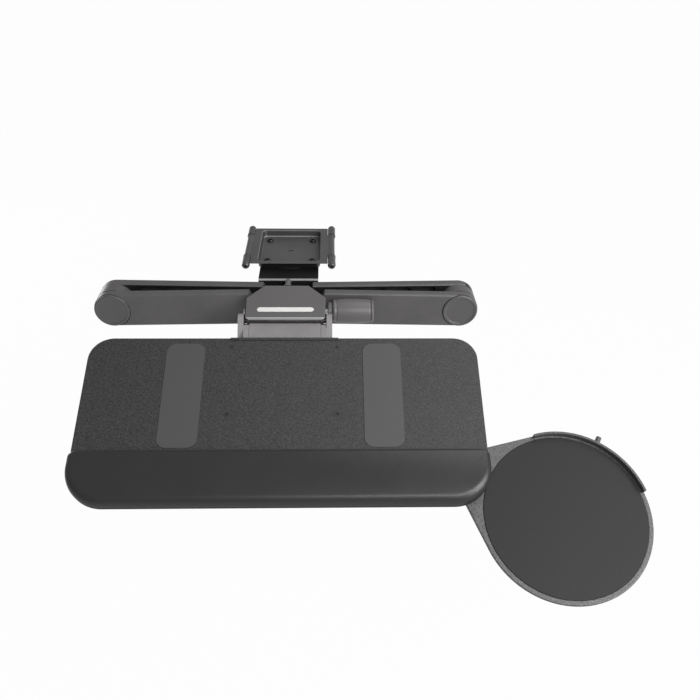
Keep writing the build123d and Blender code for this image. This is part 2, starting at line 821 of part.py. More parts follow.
def hood():
    """Moulded cover: sloping top with diagonal shoulders, side walls, rounded front edge, bar recess."""
    length = hood_front_reach - hood_rear_reach
    shoulder = hood_shoulder_reach - hood_rear_reach
    rear = hood_rear_width / 2
    front = cheek_outer + hood_side_gap
    waist = front + hood_waist_flare
    outline = make_face(Polyline(
        (-rear, 0), (rear, 0), (waist, -shoulder), (front, -length), (-front, -length),
        (-waist, -shoulder), (-rear, 0)))
    outline = fillet(outline.vertices(), hood_corner)
    shell = extrude(outline, amount=-hood_gauge)
    shell = fillet(shell.faces().sort_by(Axis.Z)[-1].edges(), hood_gauge * rim_round_share)
    shell += block(hood_corner - front, front - hood_corner, -length, hood_lip_gauge - length,
                   -hood_gauge * rim_round_share, -hood_gauge - hood_lip)
    wall_end = hood_wall_front - hood_rear_reach
    for side in (-1, 1):
        wall_start = -shoulder - hood_corner
        end_half = (waist + front) / 2
        wall = make_face(Polyline(
            (side * (waist - hood_gauge), wall_start), (side * waist, wall_start),
            (side * end_half, -wall_end), (side * (end_half - hood_gauge), -wall_end),
            (side * (waist - hood_gauge), wall_start)))
        shell += Pos(0, 0, -hood_gauge * rim_round_share) * extrude(wall, amount=-hood_wall_height)
    recess = SlotOverall(bar_length + 2 * fit_clearance, bar_width + 2 * fit_clearance)
    shell -= Pos(0, hood_rear_reach - bar_reach, -bar_depth) * extrude(recess, amount=bar_depth + overrun)
    placed = Pos(0, -hood_rear_reach, -hood_rear_drop) * Rot(hood_tilt_angle, 0, 0) * shell
    for side in (-1, 1):
        placed -= rod_x(side * (front - 2 * hood_gauge), side * (waist + overrun), knob_y, knob_z,
                        shaft_bush_radius + side_play)
    return placed


def gauge_bar():
    """Bare white bar let into the hood's top."""
    bar = Pos(0, hood_rear_reach - bar_reach, -bar_depth) * extrude(SlotOverall(bar_length, bar_width),
                                                                    amount=bar_depth)
    return Pos(0, -hood_rear_reach, -hood_rear_drop) * Rot(hood_tilt_angle, 0, 0) * bar


def hinge_rod():
    """Rod on which the tray tilts, through the cheeks and the ears."""
    half = ear_inner + ear_gauge + overrun
    rod = rod_x(-half, half, hinge_y, hinge_z, hinge_radius)
    return chamfer(rod.edges().filter_by(GeomType.CIRCLE), hinge_radius / 4)


# Tilt knob, screw and nut


def knob_shaft():
    """Shaft across the head, with the screw in its middle."""
    end = knob_start + collar_length + barrel_length / 2
    shaft = rod_x(-shaft_left, end, knob_y, knob_z, shaft_radius)
    screw_start = screw_centre - screw_length / 2
    shaft += rod_x(screw_start, screw_start + screw_length, knob_y, knob_z, screw_radius)
    return chamfer(shaft.edges().sort_by(Axis.X)[0], shaft_radius / 6)


def knob_collar():
    """Collar between the hood and the knob's barrel."""
    collar = rod_x(knob_start, knob_start + collar_length, knob_y, knob_z, collar_radius)
    collar = fillet(collar.edges().filter_by(GeomType.CIRCLE), collar_length / 5)
    end = knob_start + collar_length + overrun
    return collar - rod_x(0, end, knob_y, knob_z, shaft_radius + fit_clearance)


def tilt_knob():
    """Barrel-shaped grip with shallow flutes and a rounded end bead."""
    start = knob_start + collar_length + knob_gap
    end = start + barrel_length
    tail = end + bead_length
    profile = make_face([
        Line((start, 0), (start, barrel_end_radius)),
        ThreePointArc((start, barrel_end_radius), ((start + end) / 2, barrel_radius),
                      (end, barrel_end_radius)),
        Line((end, barrel_end_radius), (end + bead_length / 5, bead_radius)),
        ThreePointArc((end + bead_length / 5, bead_radius),
                      (tail - bead_length / 4, bead_radius * rim_share),
                      (tail, bead_radius * face_share)),
        Line((tail, bead_radius * face_share), (tail, 0)),
        Line((tail, 0), (start, 0)),
    ])
    grip = revolve(profile, Axis.X)
    grip = Pos(0, knob_y, knob_z) * grip
    return grip - rod_x(0, knob_start + collar_length + barrel_length / 2 + side_play, knob_y, knob_z,
                        shaft_radius + fit_clearance)


def shaft_clip():
    """Clip on the left end of the shaft."""
    x = -cheek_outer - hood_gauge - side_play - overrun
    clip = rod_x(x, x - clip_gauge, knob_y, knob_z, clip_radius)
    return clip - rod_x(0, -shaft_left - overrun, knob_y, knob_z, shaft_radius + fit_clearance)


def tilt_nut():
    """Nut on the screw: its back slides along the web, its finger runs in the cam's groove."""
    x0 = nut_rest - nut_length / 2
    x1 = nut_rest + nut_length / 2
    body = block(x0, x1, -web_front - nut_guide_gap, knob_y - nut_half_height, knob_z - nut_half_height,
                 knob_z + nut_half_height)
    body = fillet(body.edges().filter_by(Axis.X), finger_radius)
    body -= rod_x(x0 - overrun, x1 + overrun, knob_y, knob_z, screw_radius + running_clearance)
    reach = knob_distance - cam_radius
    root = screw_radius + overrun
    finger = Pos(0, 0, (reach + root) / 2) * Cylinder(finger_radius, reach - root)
    finger += Pos(0, 0, reach) * Sphere(finger_radius)
    direction = Rot(90 + knob_bearing, 0, 0)
    return body + Pos(nut_rest, knob_y, knob_z) * direction * finger


def tilt_cam():
    """Hub on the hinge rod with a helical groove for the nut's finger, and a foot under the bracket."""
    hub = rod_x(-cam_length / 2, cam_length / 2, 0, 0, cam_radius)
    hub += block(-cam_length / 2, cam_length / 2, 0, -board_setback - cam_foot, under_bottom,
                 under_bottom - under_gauge)
    sweep_angle = tilt_up + tilt_down + 2 * cam_margin
    path = Helix(pitch=nut_travel_per_degree * 360, height=nut_travel_per_degree * sweep_angle,
                 radius=cam_radius, lefthand=True)
    start = Plane(origin=path @ 0, z_dir=path % 0)
    groove = sweep(start * Circle(finger_radius + finger_clearance), path=path, is_frenet=True)
    first = nut_rest - nut_travel_per_degree * (tilt_up + cam_margin)
    groove = Rot(0, 90, 0) * groove
    turn = knob_bearing - tilt_at_rest + tilt_up + cam_margin
    groove = Pos(first, 0, 0) * Rot(turn + 90, 0, 0) * groove
    hub -= groove
    return hub - rod_x(-cam_length, cam_length, 0, 0, hinge_radius + running_clearance)


def placed_on_hinge(shape):
    """Tilt a tray piece to its rest angle and carry it to the hinge."""
    return Pos(0, hinge_y, hinge_z) * Rot(tilt_at_rest, 0, 0) * shape


# Tray


def arm_profile():
    """Side outline of the panel between the hinge and the board: barrel, top, sloping end, underside."""
    top = board_top - panel_drop
    end = -board_setback + cover_gap
    panel = make_face(Polyline(
        (0, top), (-panel_slope, top), (end, board_under + under_gauge), (end, board_under),
        (0, board_under), (0, top)))
    return panel + Circle(cam_radius)


def tray_bracket():
    """Cast bracket: an ear on each end of the hinge rod, side arms, and the plate under the board."""
    half = under_width / 2
    plate = block(-half, half, -board_setback - panel_drop, -board_setback - under_length,
                  board_under, under_bottom)
    neck = ear_inner + ear_gauge
    plate += block(-neck, neck, -ear_radius, -board_setback - under_length, board_under, under_bottom)
    for side in (-1, 1):
        edge = side * under_width / 2
        plate += block(edge, edge - side * under_gauge, -board_setback - panel_drop - under_flange,
                       -board_setback - under_length, board_under, under_bottom - under_flange)
        root_depth = board_setback - cover_gap - panel_slope
        root_middle = -panel_slope - root_depth / 2
        root = Pos(root_middle, board_under - under_gauge / 2) * Rectangle(root_depth, under_gauge)
        ear = make_hull(Circle(ear_radius).edges() + root.edges())
        plate += extrude(Plane.YZ.offset(side * ear_inner) * ear, amount=side * ear_gauge)
        width = side * (ear_inner - arm_inner)
        plate += extrude(Plane.YZ.offset(side * arm_inner) * arm_profile(), amount=width)
        inner = side * (cheek_outer - cheek_gauge - ear_clearance)
        plate -= rod_x(inner, side * (ear_inner - ear_clearance), 0, 0, hinge_boss + ear_notch)
    plate -= rod_x(-plate_width, plate_width, 0, 0, hinge_radius + fit_clearance)
    for x, y in screw_places():
        plate -= rod_z(x, y, board_top, under_bottom - overrun, screw_shank_radius + fit_clearance)
    return plate


def bracket_cover():
    """Cover between the bracket's arms, with a barrel round the hinge rod at each side of the cam."""
    half = arm_inner - cover_gap
    cover = extrude(Plane.YZ.offset(-half) * arm_profile(), amount=2 * half)
    inside = half - under_gauge
    cover -= block(-inside, inside, -cam_radius - overrun, -board_setback + under_gauge,
                   board_under - overrun, board_top - panel_drop - under_gauge)
    cam_half = cam_length / 2 + barrel_gap
    cover -= rod_x(-cam_half, cam_half, 0, 0, cam_radius + barrel_gap)
    for side in (-1, 1):
        cheek_side = side * (cheek_outer - cheek_gauge - ear_clearance)
        cover -= rod_x(cheek_side, side * arm_inner, 0, 0, hinge_boss + ear_notch)
    return cover - rod_x(-arm_inner, arm_inner, 0, 0, hinge_radius + running_clearance)


def screw_places():
    """The four tray screws, in the tray's own frame."""
    half = tray_screw_spacing / 2
    return [(side * half, -board_setback - along) for along in (tray_screw_first, tray_screw_second)
            for side in (-1, 1)]


def board():
    """Flat board with large rear corners, a raised stop on its rear edge and two pad pockets."""
    outline = Pos(0, -board_setback - board_depth / 2) * Rectangle(board_width, board_depth)
    corners = outline.vertices().sort_by(Axis.Y)
    outline = fillet(corners[2:], board_rear_corner)
    corners = outline.vertices().sort_by(Axis.Y)
    outline = fillet(corners[:2], board_front_corner)
    slab_part = Pos(0, 0, board_under) * extrude(outline, amount=board_gauge)
    top_edges = slab_part.faces().sort_by(Axis.Z)[-1].edges()
    slab_part = fillet(top_edges, board_edge)
    slab_part += block(-lip_width / 2, lip_width / 2, -board_setback, -board_setback - lip_depth,
                       board_under + board_edge, board_top + lip_rise)
    for side in (-1, 1):
        slab_part -= pad_blank(side, board_top - pad_pocket, pad_corner + fit_clearance, fit_clearance)
    for x, y in screw_places():
        slab_part -= rod_z(x, y, board_top - screw_head_height, board_top + overrun,
                           screw_head_radius + fit_clearance)
        slab_part -= rod_z(x, y, board_top, board_under - overrun, screw_shank_radius + fit_clearance)
    slab_part -= rod_z(mouse_pivot_x, -board_setback - mouse_pivot_depth, board_under - overrun,
                       board_under + pivot_thread / 2, pivot_bolt_radius + fit_clearance)
    return slab_part


def pad_blank(side, z, corner, grow):
    """Rounded anti-slip pad, standing on height z."""
    x = side * (pad_inner + pad_width / 2)
    y = -board_setback - pad_rear - pad_length / 2
    outline = RectangleRounded(pad_width + 2 * grow, pad_length + 2 * grow, corner)
    return Pos(x, y, z) * extrude(outline, amount=pad_gauge)


def tray_screws():
    """Four countersunk screws through the board and the bracket's plate."""
    pieces = []
    for x, y in screw_places():
        screw = rod_z(x, y, board_top - screw_head_height, board_top, screw_head_radius)
        screw += rod_z(x, y, board_top - screw_head_height, under_bottom - overrun, screw_shank_radius)
        screw -= Pos(x, y, board_top - overrun) * extrude(
            RegularPolygon(screw_shank_radius * socket_share, 6), amount=2 * overrun)
        pieces.append(screw)
    return Compound(children=pieces)


def palm_rest():
    """Padded wrist support: flat crown, rolled nose and ends, and a skirt over the board's front edge."""
    depth = palm_front - palm_rear
    low = board_under - palm_below
    outline = Pos(0, -board_setback - palm_rear - depth / 2) * Rectangle(palm_width, depth)
    outline = fillet(outline.vertices().sort_by(Axis.Y)[:2], palm_corner)
    outline = fillet(outline.vertices().sort_by(Axis.Y)[-2:], palm_rear_corner)
    pad = Pos(0, 0, low) * extrude(outline, amount=board_top + palm_rise - low)
    pad = fillet(pad.faces().sort_by(Axis.Z)[-1].edges(), palm_nose)
    seat = Pos(0, -board_setback - board_depth / 2) * Rectangle(board_width + 2 * palm_heel, board_depth)
    seat = fillet(seat.vertices().sort_by(Axis.Y)[:2], board_front_corner)
    pad -= Pos(0, 0, low - overrun) * extrude(seat, amount=board_top + fit_clearance - low + overrun)
    return pad


# Mouse platform


def mouse_centre():
    """Centre of the round platform, in the tray's own frame."""
    along = math.radians(mouse_direction)
    return (mouse_pivot_x + mouse_arm * math.cos(along),
            -board_setback - mouse_pivot_depth + mouse_arm * math.sin(along))


def mouse_base():
    """Teardrop plate from the pivot out to the round platform, with the pad's pocket."""
    cx, cy = mouse_centre()
    pivot_y = -board_setback - mouse_pivot_depth
    outline = make_hull((Pos(cx, cy) * Circle(mouse_radius)).edges()
                        + (Pos(mouse_pivot_x, pivot_y) * Circle(mouse_tail_radius)).edges())
    base = Pos(0, 0, mouse_top - mouse_gauge) * extrude(outline, amount=mouse_gauge)
    base = fillet(base.faces().sort_by(Axis.Z)[-1].edges(), mouse_edge)
    base = fillet(base.faces().sort_by(Axis.Z)[0].edges(), mouse_edge)
    base -= rod_z(cx, cy, mouse_top - mouse_pad_pocket, mouse_top + overrun, mouse_pad_radius + cover_gap)
    base -= rod_z(mouse_pivot_x, pivot_y, mouse_top + overrun, mouse_top - mouse_gauge - overrun,
                  pivot_bolt_radius + running_clearance)
    return base


def mouse_pad():
    """Round pad in the platform's pocket."""
    cx, cy = mouse_centre()
    pad = rod_z(cx, cy, mouse_top - mouse_pad_pocket, mouse_top - mouse_pad_pocket + mouse_pad_gauge,
                mouse_pad_radius)
    return fillet(pad.edges().sort_by(Axis.Z)[-1], mouse_pad_gauge / 4)


def mouse_fence():
    """Raised arc that keeps the mouse on the platform, with a small peg for its lead."""
    cx, cy = mouse_centre()
    ring = Circle(fence_outer) - Circle(fence_outer - fence_gauge)
    reach = 2 * fence_outer
    spread = math.radians(fence_to - fence_from)
    corners = [(0, 0)]
    for share in (0, 0.5, 1):
        angle = math.radians(fence_from) + share * spread
        corners.append((reach * math.cos(angle), reach * math.sin(angle)))
    wedge = make_face(Polyline(*corners, (0, 0)))
    fence = Pos(cx, cy, mouse_top) * extrude(ring & wedge, amount=fence_height)
    length = fence_gauge + peg_reach
    peg = Rot(0, 90, 0) * Cylinder(peg_radius, length)
    peg = Rot(0, 0, peg_angle) * Pos(fence_outer - fence_gauge + length / 2, 0, 0) * peg
    fence += Pos(cx, cy, mouse_top + fence_height - peg_radius) * peg
    return fence


def mouse_mount():
    """Round block under the board, with a thin washer, that carries the platform's pivot bolt."""
    y = -board_setback - mouse_pivot_depth
    mount = rod_z(mouse_pivot_x, y, board_under, mouse_top, mount_radius)
    return mount - rod_z(mouse_pivot_x, y, board_under + overrun, mouse_top - overrun,
                         pivot_bolt_radius + fit_clearance)


def mouse_bolt():
    """Pivot bolt from below: broad head, shank through the platform and the mount into the board."""
    y = -board_setback - mouse_pivot_depth
    under = mouse_top - mouse_gauge
    bolt = rod_z(mouse_pivot_x, y, under, under - pivot_head_height, pivot_head_radius)
    bolt = fillet(bolt.edges().sort_by(Axis.Z)[0], pivot_head_height / 3)
    bolt += rod_z(mouse_pivot_x, y, under, board_under + pivot_thread / 2, pivot_bolt_radius)
    return bolt


def main():
    """Build every sub-part and write it."""
    save(carriage_plate(), "carriage_plate")
    save(glides(-1), "glides_left")
    save(glides(1), "glides_right")
    save(swivel_bush(), "swivel_bush")
    save(bolted_ring(-floor_under, -bracket_top, retainer_radius), "swivel_washer_upper")
    save(bolted_ring(-bracket_under, -retainer_top, retainer_radius), "swivel_washer_lower")
    save(bolted_ring(-retainer_top, -retainer_under, retainer_radius), "swivel_retainer")
    save(carriage_bolts(), "carriage_bolts")
    save(carriage_nuts(), "carriage_nuts")

    save(rear_bracket(), "rear_bracket")
    save(pivot_plate(pivot_plate_back, rear_pivot_z, rear_ties), "rear_pivot_plate")
    save(pivot_pins(-arm_reach + bracket_gauge, -pivot_plate_front, rear_pivot_z), "rear_pivot_pins")
    save(tie_bolts(-arm_reach + bracket_gauge, -pivot_plate_front, rear_ties), "rear_tie_bolts")

    save(rear_link(), "rear_link_left")
    save(right_rear_link(), "rear_link_right")
    for side, name in ((-1, "left"), (1, "right")):
        x = side * elbow_x
        pivot = side * pivot_x
        save(flanged_bush(pivot, -arm_reach, -rear_front, rear_pivot_z), f"rear_bush_{name}")
        save(drum(x), f"spring_drum_{name}")
        save(counter_spring(x), f"counter_spring_{name}")
        save(elbow_axle(x), f"elbow_axle_{name}")
        save(elbow_nut(x), f"elbow_nut_{name}")
        save(front_link(side), f"front_link_{name}")
        save(flanged_bush(pivot, -head_plate_front, -front_front, front_pivot_z), f"front_bush_{name}")
        save(elbow_bush(x), f"elbow_bush_{name}")
        save(elbow_cap(x), f"elbow_cap_{name}")

    save(head_frame(), "head_frame")
    save(pivot_plate(head_plate_back, front_pivot_z, front_ties), "head_rear_plate")
    save(pivot_pins(-head_plate_back, -web_front, front_pivot_z), "front_pivot_pins")
    save(tie_bolts(-head_plate_back, -web_front, front_ties), "front_tie_bolt")
    save(hood(), "hood")
    save(gauge_bar(), "gauge_bar")
    save(hinge_rod(), "hinge_rod")
    save(shaft_bushes(), "shaft_bushes")

    save(knob_shaft(), "knob_shaft")
    save(knob_collar(), "knob_collar")
    save(tilt_knob(), "tilt_knob")
    save(shaft_clip(), "shaft_clip")
    save(tilt_nut(), "tilt_nut")

    tray = {
        "tray_bracket": tray_bracket(), "bracket_cover": bracket_cover(), "tilt_cam": tilt_cam(),
        "tray_board": board(), "tray_screws": tray_screws(), "palm_rest": palm_rest(),
        "grip_pad_left": pad_blank(-1, board_top - pad_pocket, pad_corner, 0),
        "grip_pad_right": pad_blank(1, board_top - pad_pocket, pad_corner, 0),
        "mouse_mount": mouse_mount(), "mouse_base": mouse_base(), "mouse_pad": mouse_pad(),
        "mouse_fence": mouse_fence(), "mouse_bolt": mouse_bolt(),
    }
    for name, shape in tray.items():
        save(placed_on_hinge(shape), name)


main()
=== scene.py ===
"""Keyboard tray on a height-adjusting arm: finishes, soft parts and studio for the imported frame.

Lengths are in metres. The tray's own frame and the turned profiles are in millimetres."""
import bpy
import bmesh
import math
import numpy as np
from mathutils import Matrix, Vector


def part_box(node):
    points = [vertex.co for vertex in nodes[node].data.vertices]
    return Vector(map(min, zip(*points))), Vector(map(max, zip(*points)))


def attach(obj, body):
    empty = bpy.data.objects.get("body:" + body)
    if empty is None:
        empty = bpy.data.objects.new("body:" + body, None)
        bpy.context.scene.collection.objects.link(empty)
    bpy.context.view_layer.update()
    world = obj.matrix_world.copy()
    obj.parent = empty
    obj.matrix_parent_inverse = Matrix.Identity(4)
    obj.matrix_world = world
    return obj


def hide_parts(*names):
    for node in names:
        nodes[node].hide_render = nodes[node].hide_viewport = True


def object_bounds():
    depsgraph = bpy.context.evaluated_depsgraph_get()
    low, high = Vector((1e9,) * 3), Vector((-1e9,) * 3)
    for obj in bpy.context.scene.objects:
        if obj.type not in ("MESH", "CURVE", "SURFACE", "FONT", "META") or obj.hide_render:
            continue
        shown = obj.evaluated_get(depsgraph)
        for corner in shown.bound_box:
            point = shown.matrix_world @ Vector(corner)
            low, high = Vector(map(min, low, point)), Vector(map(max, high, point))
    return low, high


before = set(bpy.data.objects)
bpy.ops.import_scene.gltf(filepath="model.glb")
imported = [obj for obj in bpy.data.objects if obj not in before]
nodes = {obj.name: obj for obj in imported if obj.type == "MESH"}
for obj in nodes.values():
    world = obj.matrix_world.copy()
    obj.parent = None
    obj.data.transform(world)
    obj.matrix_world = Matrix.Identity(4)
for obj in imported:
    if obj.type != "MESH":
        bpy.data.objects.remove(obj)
cad_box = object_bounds()

MM = 1000.0  # millimetres in a metre

# The tray's hinge line, and the tray's slope at rest
HINGE = np.array([0.0, -0.1855, -0.0292])
TILT = math.radians(26.5)

# The board in the tray's own frame, in millimetres: its rear edge ahead of the hinge line, its top
# above it
BOARD_REAR = 32.0
BOARD_TOP = 4.8


def box(node, scale=1.0):
    """A CAD node's low and high corners as plain numbers, each times the scale."""
    return [[float(value) * scale for value in corner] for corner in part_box(node)]


# Shader maths

class Wire:
    """A shader socket that adds Math nodes when it is used in an expression."""

    def __init__(self, maker, socket):
        self.maker = maker
        self.socket = socket

    def math(self, operation, other=0.0):
        """Math node of this value and, where the operation takes two, the other."""
        return self.maker.node("ShaderNodeMath", {"operation": operation}, {0: self, 1: other})

    def __add__(self, other):
        return self.math("ADD", other)

    def __sub__(self, other):
        return self.math("SUBTRACT", other)

    def __rsub__(self, other):
        return self.maker.node("ShaderNodeMath", {"operation": "SUBTRACT"}, {0: other, 1: self})

    def __mul__(self, other):
        return self.math("MULTIPLY", other)

    def __pow__(self, other):
        return self.math("POWER", other)

    def __abs__(self):
        return self.math("ABSOLUTE")

    def larger(self, other):
        """The larger of the two values."""
        return self.math("MAXIMUM", other)

    def over(self, low, high):
        """0 below low, 1 above high, a smooth step between."""
        settings = {"interpolation_type": "SMOOTHSTEP"}
        inputs = {"Value": self, "From Min": low, "From Max": high, "To Min": 0.0, "To Max": 1.0}
        return self.maker.node("ShaderNodeMapRange", settings, inputs)


class Shades:
    """Adds nodes to one node tree and joins them."""

    def __init__(self, tree):
        self.tree = tree

    def put(self, value, socket):
        """A wire is linked to the socket; a constant is set on it."""
        if isinstance(value, Wire):
            self.tree.links.new(value.socket, socket)
        else:
            socket.default_value = value

    def node(self, kind, settings, inputs, output=0):
        """Any node: its settings first, then the constants or wires of its sockets."""
        made = self.tree.nodes.new(kind)
        for key, value in settings.items():
            setattr(made, key, value)
        for key, value in inputs.items():
            self.put(value, made.inputs[key])
        return Wire(self, made.outputs[output])

    def rays(self, *kinds):
        """1 where the ray is of one of the kinds, 0 elsewhere: the largest of the kinds' own values."""
        first, *rest = (self.node("ShaderNodeLightPath", {}, {}, kind) for kind in kinds)
        for ray in rest:
            first = first.larger(ray)
        return first


class Finish(Shades):
    """A node material with one Principled shader, built from the constants and wires it is given."""

    # Sockets of a Mix node that is set to colours
    FACTOR, FIRST, SECOND, RESULT = 0, 6, 7, 2

    def __init__(self, name):
        self.material = bpy.data.materials.new(name)
        self.material.use_nodes = True
        super().__init__(self.material.node_tree)
        self.shader = self.tree.nodes["Principled BSDF"]
        self.place = self.node("ShaderNodeTexCoord", {}, {}, "Object")

    def axes(self):
        """The place's x, y and z in metres."""
        split = self.node("ShaderNodeSeparateXYZ", {}, {0: self.place})
        return [Wire(self, output) for output in split.socket.node.outputs]

    def noise(self, scale, detail=2.0, roughness=0.5):
        """Noise from 0 to 1 that repeats about scale times a metre."""
        inputs = {"Vector": self.place, "Scale": scale, "Detail": detail, "Roughness": roughness}
        return self.node("ShaderNodeTexNoise", {}, inputs, "Fac")

    def mix(self, amount, first, second):
        """Colour between first, at an amount of 0, and second, at 1."""
        inputs = {self.FACTOR: amount, self.FIRST: colour(first), self.SECOND: colour(second)}
        return self.node("ShaderNodeMix", {"data_type": "RGBA"}, inputs, self.RESULT)

    def around(self, middle, *swings):
        """Value round a middle: each (noise, swing) adds noise times swing, less half the swing."""
        total = middle - sum(swing for _, swing in swings) / 2
        for wire, swing in swings:
            total = wire * swing + total
        return total

    def set(self, **sockets):
        """Constants and wires for the shader's sockets; underscores stand for spaces."""
        for key, value in sockets.items():
            self.put(value, self.shader.inputs[key.replace("_", " ")])

    def bump(self, height, depth):
        """Relief: height, from 0 to 1, times the depth in metres."""
        inputs = {"Height": height, "Distance": depth, "Strength": 1.0}
        self.set(Normal=self.node("ShaderNodeBump", {}, inputs, "Normal"))


def colour(value):
    """Colour as RGBA; a single number is a neutral grey."""
    if isinstance(value, Wire):
        return value
    if isinstance(value, (int, float)):
        value = (value, value, value)
    return (*value, 1.0)


def tinted(tone, tint):
    """A tone times each channel of a tint."""
    return tuple(tone * channel for channel in tint)


# Finishes: each takes its tone, the share of light that it gives back, and its middle roughness

WARM = (1.03, 0.985, 0.99)  # a grey's red, green and blue, as shares of its tone


def powder_coat(name, tone, roughness=0.42, inner=None, edge=None, gloss=0.5):
    """Powder coat: a slow cloud swings the tone; the cloud and the orange peel vary the roughness.

    inner and edge give a mask each, made from the finish. The first paints shade: the colour goes to the
    unlit tone. The second paints a highlight in the highlight tone, by the mask times a share that grows
    with the cloud from its least to 1."""
    swing, unlit, highlight_tone, least = 0.1, 0.006, 0.55, 0.7
    finish = Finish(name)
    cloud = finish.noise(scale=14.0, detail=4.0, roughness=0.6)
    peel = finish.noise(scale=900.0)
    dark, light = tinted(tone * (1 - swing), WARM), tinted(tone * (1 + swing), WARM)
    base = finish.mix(cloud.over(low=0.3, high=0.7), dark, light)
    # Painted shade: the inner mask turns the colour to the unlit tone.
    if inner:
        base = finish.mix(inner(finish), base, unlit)
    # Painted highlight: the edge mask turns the colour to the highlight tone.
    if edge:
        base = finish.mix(edge(finish) * (cloud * (1 - least) + least), base, highlight_tone)
    rough = finish.around(roughness, (cloud, 0.12), (peel, 0.1))
    finish.set(Base_Color=base, Roughness=rough, Specular_IOR_Level=gloss)
    finish.bump(peel, depth=0.00009)
    return finish.material


def speckled(name, tone, contrast, scale, roughness=0.55, depth=0.00012, fleck=0.0, gloss=0.5):
    """Moulded plastic with a sparked texture: small light and dark grains with fine relief.

    The grains are the tone times 1 less or plus the contrast. A share, fleck, of finer and rarer grains
    is much lighter. Grains and slow patches vary the roughness."""
    patch_share, fleck_share = 1 / 9, 1.7  # their scales, as shares of the grain's
    fleck_tone = tone * 2.6
    finish = Finish(name)
    grain = finish.noise(scale, detail=3.0, roughness=0.75)
    patch = finish.noise(scale * patch_share)
    spots = grain.over(low=0.38, high=0.64)
    base = finish.mix(spots, tone * (1 - contrast), tone * (1 + contrast))
    if fleck:
        rare = finish.noise(scale * fleck_share, detail=1.0).over(low=0.62, high=0.7)
        base = finish.mix(rare * fleck, base, fleck_tone)
    rough = finish.around(roughness, (patch, 0.1), (spots, 0.08))
    finish.set(Base_Color=base, Roughness=rough, Specular_IOR_Level=gloss)
    finish.bump(grain, depth)
    return finish.material


def satin_plastic(name, tone, roughness=0.4, tint=WARM, edge=None, shade=0.55):
    """Smooth moulded plastic: a cloud turns the tone a little; cloud and a fine grain vary the roughness.

    edge gives a mask where a highlight is painted: there the colour turns to shade, a lighter tone."""
    swing = 0.06
    finish = Finish(name)
    cloud = finish.noise(scale=30.0, detail=3.0, roughness=0.6)
    grain = finish.noise(scale=1400.0, roughness=0.6)
    base = finish.mix(cloud, tinted(tone * (1 - swing), tint), tinted(tone * (1 + swing), tint))
    # Painted highlight: the edge mask turns the colour to the lighter tone.
    if edge:
        base = finish.mix(edge(finish), base, shade)
    finish.set(Base_Color=base, Roughness=finish.around(roughness, (cloud, 0.1), (grain, 0.08)))
    finish.bump(grain, depth=0.00004)
    return finish.material


def plated_steel(name, tone, roughness=0.34):
    """Zinc-plated steel: crystals in tone and roughness, and fine turning marks.

    The dark crystals are warmer than the light ones, which have a little less blue than red."""
    dark, light = (0.85, 0.85, 0.82), (1.0, 1.0, 0.985)
    finish = Finish(name)
    crystal = finish.noise(scale=160.0, detail=4.0, roughness=0.65)
    marks = finish.noise(scale=1200.0)
    base = finish.mix(crystal.over(low=0.3, high=0.7), tinted(tone, dark), tinted(tone, light))
    rough = finish.around(roughness, (crystal, 0.2), (marks, 0.08))
    finish.set(Base_Color=base, Metallic=1.0, Roughness=rough)
    finish.bump(marks, depth=0.00003)
    return finish.material


def soft_skin(name, tone, roughness=0.5, gloss=0.4):
    """Moulded foam skin: leather grain from a share of cells and a share of pores, a cloud in the tone.

    Below the nose shade is painted: the tone falls to a quarter and the roughness rises."""
    swing, below, duller = 0.08, 0.25, 0.4
    cell_share, pore_share = 0.6, 0.4
    finish = Finish(name)
    pores = finish.noise(scale=1100.0, detail=3.0, roughness=0.6)
    settings, inputs = {"feature": "SMOOTH_F1"}, {"Vector": finish.place, "Scale": 620.0}
    cells = finish.node("ShaderNodeTexVoronoi", settings, inputs, "Distance")
    cloud = finish.noise(scale=22.0, detail=3.0)
    low = painted_shade_below_nose(finish)
    skin = finish.mix(cloud, tone * (1 - swing), tone * (1 + swing))
    rough = low * duller + finish.around(roughness, (cloud, 0.08), (pores, 0.08))
    # Painted shade: under the nose the colour falls to the tone times below.
    finish.set(Base_Color=finish.mix(low, skin, tone * below), Roughness=rough, Specular_IOR_Level=gloss)
    finish.bump(cells * cell_share + pores * pore_share, depth=0.00010)
    return finish.material


# Masks: where a finish changes on a piece. Each ramp is a pair of places, where it starts and ends.

def band(value, start, stop):
    """1 from the ramp start to the ramp stop: the first ramp times 1 less the second."""
    return value.over(*start) * (1.0 - value.over(*stop))


def painted_shade_below_nose(finish):
    """Painted shade: 1 under the palm rest's nose, 0 on its top.

    The height above the hinge's plane is the place's rise and reach from the hinge, turned by the
    tilt."""
    nose = (0.0010, 0.0085)
    x, y, z = finish.axes()
    rise = (z - float(HINGE[2])) * math.cos(TILT) - (y - float(HINGE[1])) * math.sin(TILT)
    return 1.0 - rise.over(*nose)


def rear_link_gap_shade(finish):
    """1 on the rear links' front face and in its pockets, which lie in the gap between the links: painted
    shade for that gap.

    The pockets' middle line climbs from the pivot outwards with the links' slope. A place is in a pocket
    where its rise over that line is less than half the pocket's height, as far back as the floor."""
    pivot_side, pivot_height, slope = 0.0275, -0.044, math.radians(0.9)
    half_height = (0.0236, 0.0240)
    low, high = box("rear_link_left")
    front = (low[1] + 0.0002, low[1] + 0.0006)
    pocket_floor = (high[1] - 0.0036, high[1] - 0.0032)
    x, y, z = finish.axes()
    face = 1.0 - y.over(*front)
    rise = z - ((abs(x) - pivot_side) * math.tan(slope) + pivot_height)
    pocket = (1.0 - abs(rise).over(*half_height)) * (1.0 - y.over(*pocket_floor))
    return face.larger(pocket)


